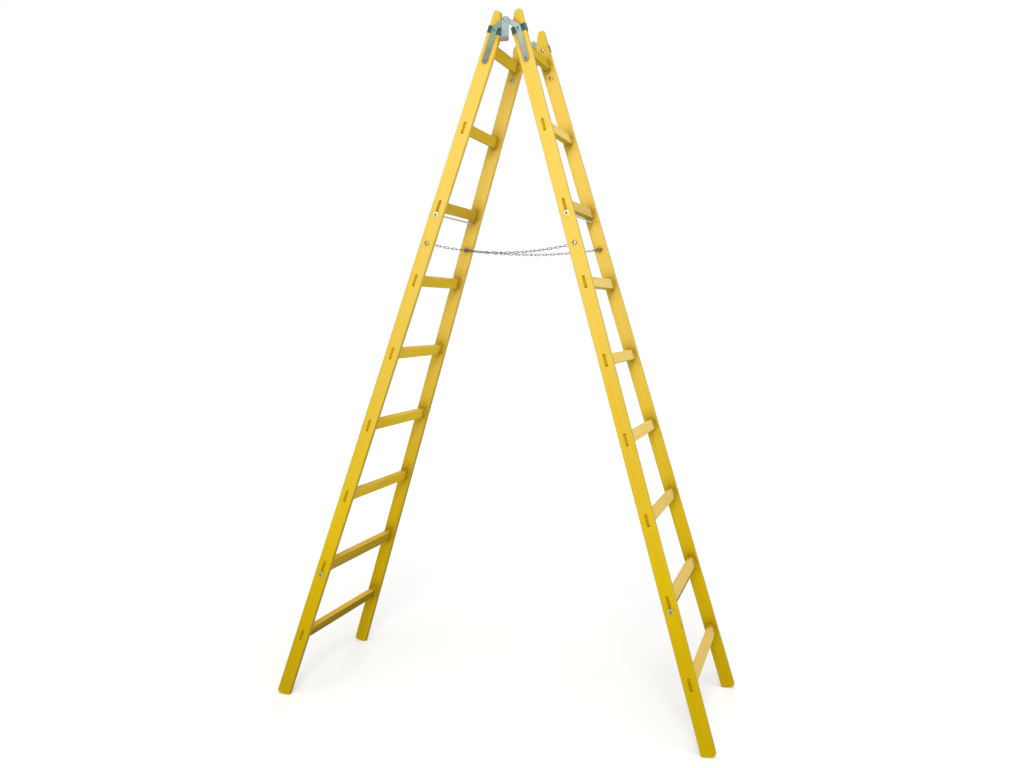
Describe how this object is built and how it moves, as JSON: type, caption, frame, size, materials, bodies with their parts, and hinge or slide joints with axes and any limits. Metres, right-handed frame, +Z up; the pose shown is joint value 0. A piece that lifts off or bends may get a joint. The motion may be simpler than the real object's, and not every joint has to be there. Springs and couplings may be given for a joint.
{
  "type": "double-sided stepladder",
  "caption": "Free-standing wooden A-frame stepladder: two tapered ladders with tenoned rungs, hinged at the top by steel brackets, held apart by link chains, with a hook on each hinge pin.",
  "frame": {"origin": "on the floor, at the centre of the four feet of the open ladder", "axes": "+Z up, X across the spread from the left half to the right half, Y along the rungs"},
  "size_m": [1.6778, 0.684, 2.5808],
  "materials": {
    "stile_wood": "yellow satin varnish",
    "rung_wood": "satin varnish, worn on top",
    "zinc_steel": "zinc plated",
    "hook_steel": "zinc plated, browned in the curl",
    "chain_steel": "dull zinc"
  },
  "bodies": {
    "left_half": {"stile_left_front": "stile_wood", "stile_left_back": "stile_wood", "rung_left_1": "rung_wood", "rung_left_2": "rung_wood", "rung_left_3": "rung_wood", "rung_left_4": "rung_wood", "rung_left_5": "rung_wood", "rung_left_6": "rung_wood", "rung_left_7": "rung_wood", "rung_left_8": "rung_wood", "rung_left_9": "rung_wood", "tie_rod_left_upper": "zinc_steel", "tie_rod_left_lower": "zinc_steel", "tie_washers_left": "zinc_steel", "tie_nuts_left": "zinc_steel", "hinge_bracket_left_front": "zinc_steel", "hinge_bracket_left_back": "zinc_steel", "hinge_band_left_front": "zinc_steel", "hinge_band_left_back": "zinc_steel", "bracket_bolts_left": "zinc_steel", "bracket_nuts_left": "zinc_steel", "chain_bolts_left": "zinc_steel", "chain_nuts_left": "zinc_steel", "hinge_pin_front": "zinc_steel", "hinge_pin_back": "zinc_steel", "hinge_bushes": "zinc_steel"},
    "right_half": {"stile_right_front": "stile_wood", "stile_right_back": "stile_wood", "rung_right_1": "rung_wood", "rung_right_2": "rung_wood", "rung_right_3": "rung_wood", "rung_right_4": "rung_wood", "rung_right_5": "rung_wood", "rung_right_6": "rung_wood", "rung_right_7": "rung_wood", "rung_right_8": "rung_wood", "rung_right_9": "rung_wood", "tie_rod_right_upper": "zinc_steel", "tie_rod_right_lower": "zinc_steel", "tie_washers_right": "zinc_steel", "tie_nuts_right": "zinc_steel", "hinge_bracket_right_front": "zinc_steel", "hinge_bracket_right_back": "zinc_steel", "hinge_band_right_front": "zinc_steel", "hinge_band_right_back": "zinc_steel", "bracket_bolts_right": "zinc_steel", "bracket_nuts_right": "zinc_steel", "chain_bolts_right": "zinc_steel", "chain_nuts_right": "zinc_steel"},
    "front_hook": {"hook_front": "hook_steel"},
    "back_hook": {"hook_back": "hook_steel"},
    "chain_front_left_upper": {"chain_front_left_upper": "chain_steel"},
    "chain_front_left_lower": {"chain_front_left_lower": "chain_steel"},
    "chain_front_right_upper": {"chain_front_right_upper": "chain_steel"},
    "chain_front_right_lower": {"chain_front_right_lower": "chain_steel"},
    "chain_back_left_upper": {"chain_back_left_upper": "chain_steel"},
    "chain_back_left_lower": {"chain_back_left_lower": "chain_steel"},
    "chain_back_right_upper": {"chain_back_right_upper": "chain_steel"},
    "chain_back_right_lower": {"chain_back_right_lower": "chain_steel"}
  },
  "joints": [
    {"name": "fold", "type": "hinge", "parent": "left_half", "child": "right_half", "pos_m": [0, 0, 2.53988], "axis": [0, 1, 0], "range_deg": [0, 34.2]},
    {"name": "front_hook_swing", "type": "hinge", "parent": "left_half", "child": "front_hook", "pos_m": [0, -0.18062, 2.53988], "axis": [0, 1, 0], "range_deg": [-90, 90]},
    {"name": "back_hook_swing", "type": "hinge", "parent": "left_half", "child": "back_hook", "pos_m": [0, 0.18062, 2.53988], "axis": [0, 1, 0], "range_deg": [-90, 90]},
    {"name": "chain_front_left_swing", "type": "hinge", "parent": "left_half", "child": "chain_front_left_upper", "pos_m": [-0.28155, -0.1906, 1.74032], "axis": [0, 1, 0], "range_deg": [0, 86.23]},
    {"name": "chain_front_left_bend", "type": "hinge", "parent": "chain_front_left_upper", "child": "chain_front_left_lower", "pos_m": [-0.14369, -0.19386, 1.71591], "axis": [0, 1, 0], "range_deg": [0, 16.16]},
    {"name": "chain_front_right_swing", "type": "hinge", "parent": "right_half", "child": "chain_front_right_upper", "pos_m": [0.28155, -0.19075, 1.74032], "axis": [0, 1, 0], "range_deg": [-86.23, 0]},
    {"name": "chain_front_right_bend", "type": "hinge", "parent": "chain_front_right_upper", "child": "chain_front_right_lower", "pos_m": [0.14369, -0.18749, 1.71591], "axis": [0, 1, 0], "range_deg": [-16.16, 0]},
    {"name": "chain_back_left_swing", "type": "hinge", "parent": "left_half", "child": "chain_back_left_upper", "pos_m": [-0.28155, 0.19075, 1.74032], "axis": [0, 1, 0], "range_deg": [0, 90.15]},
    {"name": "chain_back_left_bend", "type": "hinge", "parent": "chain_back_left_upper", "child": "chain_back_left_lower", "pos_m": [-0.1437, 0.18749, 1.72552], "axis": [0, 1, 0], "range_deg": [0, 13.58]},
    {"name": "chain_back_right_swing", "type": "hinge", "parent": "right_half", "child": "chain_back_right_upper", "pos_m": [0.28155, 0.1906, 1.74032], "axis": [0, 1, 0], "range_deg": [-90.15, 0]},
    {"name": "chain_back_right_bend", "type": "hinge", "parent": "chain_back_right_upper", "child": "chain_back_right_lower", "pos_m": [0.1437, 0.19386, 1.72552], "axis": [0, 1, 0], "range_deg": [-13.58, 0]}
  ],
  "couplings": [
    {"joint": "chain_front_left_swing", "follows": "fold", "ratio": 2.5163},
    {"joint": "chain_front_left_bend", "follows": "fold", "ratio": 0.47144},
    {"joint": "chain_front_right_swing", "follows": "fold", "ratio": -2.5163},
    {"joint": "chain_front_right_bend", "follows": "fold", "ratio": -0.47144},
    {"joint": "chain_back_left_swing", "follows": "fold", "ratio": 2.6308},
    {"joint": "chain_back_left_bend", "follows": "fold", "ratio": 0.39626},
    {"joint": "chain_back_right_swing", "follows": "fold", "ratio": -2.6308},
    {"joint": "chain_back_right_bend", "follows": "fold", "ratio": -0.39626}
  ]
}
